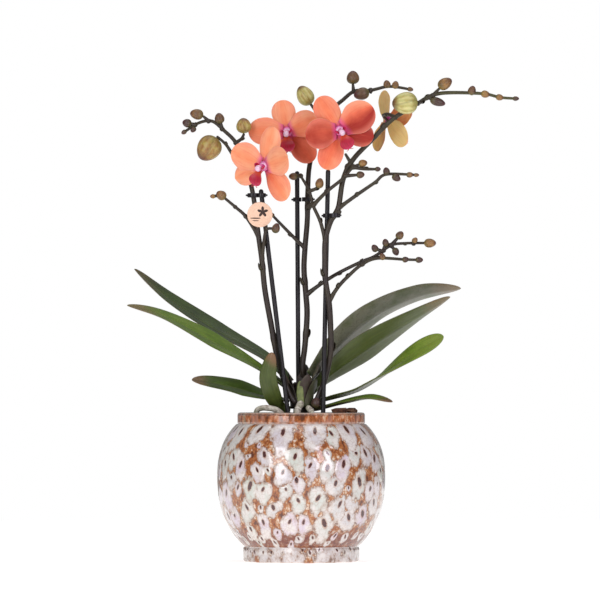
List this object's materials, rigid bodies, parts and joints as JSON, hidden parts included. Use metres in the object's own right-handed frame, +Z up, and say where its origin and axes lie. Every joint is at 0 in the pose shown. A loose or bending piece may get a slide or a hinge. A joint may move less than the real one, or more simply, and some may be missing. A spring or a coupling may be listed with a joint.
{
  "type": "potted orchid",
  "caption": "Moth orchid with branched flower spikes, buds and orange flowers, tied to stakes, in a plastic grow pot inside a round glazed pot with a rim and a foot.",
  "frame": {"origin": "middle of the glazed pot's flat underside", "axes": "+Z up along the pot's axis, -Y the side the flowers face, +X to the right seen from the front"},
  "size_m": [0.3205, 0.1376, 0.4027],
  "materials": {
    "glaze": "reactive glaze, off-white rings with brown spots on rust brown, glossy",
    "grow_pot_plastic": "thin translucent brown plastic",
    "bark": "rough bark",
    "leaf": "waxy, satin",
    "stem": "satin, olive brown",
    "crown": "satin, pale green",
    "root": "silvery, matt",
    "petal": "velvety, salmon orange",
    "lip": "satin, crimson",
    "bud": "satin, olive to mauve brown",
    "black_plastic": "satin black",
    "tag_card": "matt, plain peach"
  },
  "bodies": {
    "root": {"bark_chip_front": "bark", "bark_chip_side": "bark", "bark_mix": "bark", "bud_left_end": "bud", "bud_left_large": "bud", "bud_left_round": "bud", "bud_middle_side": "bud", "bud_middle_top": "bud", "bud_middle_upper": "bud", "bud_right_large": "bud", "bud_right_upper": "bud", "ceramic_pot": "glaze", "clip_left": "black_plastic", "clip_middle": "black_plastic", "clip_right": "black_plastic", "crown": "crown", "flower_back_dorsal_sepal": "petal", "flower_back_lip": "lip", "flower_back_petal_left": "petal", "flower_back_petal_right": "petal", "flower_back_sepal_left": "petal", "flower_back_sepal_right": "petal", "flower_front_dorsal_sepal": "petal", "flower_front_lip": "lip", "flower_front_petal_left": "petal", "flower_front_petal_right": "petal", "flower_front_sepal_left": "petal", "flower_front_sepal_right": "petal", "flower_left_dorsal_sepal": "petal", "flower_left_lip": "lip", "flower_left_petal_left": "petal", "flower_left_petal_right": "petal", "flower_left_sepal_left": "petal", "flower_left_sepal_right": "petal", "flower_right_dorsal_sepal": "petal", "flower_right_lip": "lip", "flower_right_petal_left": "petal", "flower_right_petal_right": "petal", "flower_right_sepal_left": "petal", "flower_right_sepal_right": "petal", "grow_pot": "grow_pot_plastic", "leaf_left_front": "leaf", "leaf_left_low": "leaf", "leaf_left_middle": "leaf", "leaf_left_upper": "leaf", "leaf_right_low": "leaf", "leaf_right_middle": "leaf", "leaf_right_twisted": "leaf", "leaf_right_upper": "leaf", "root_front": "root", "root_left": "root", "root_right": "root", "spike_left": "stem", "spike_middle": "stem", "spike_right": "stem", "stake_left": "black_plastic", "stake_middle": "black_plastic", "stake_right": "black_plastic", "tag": "tag_card"}
  },
  "joints": []
}
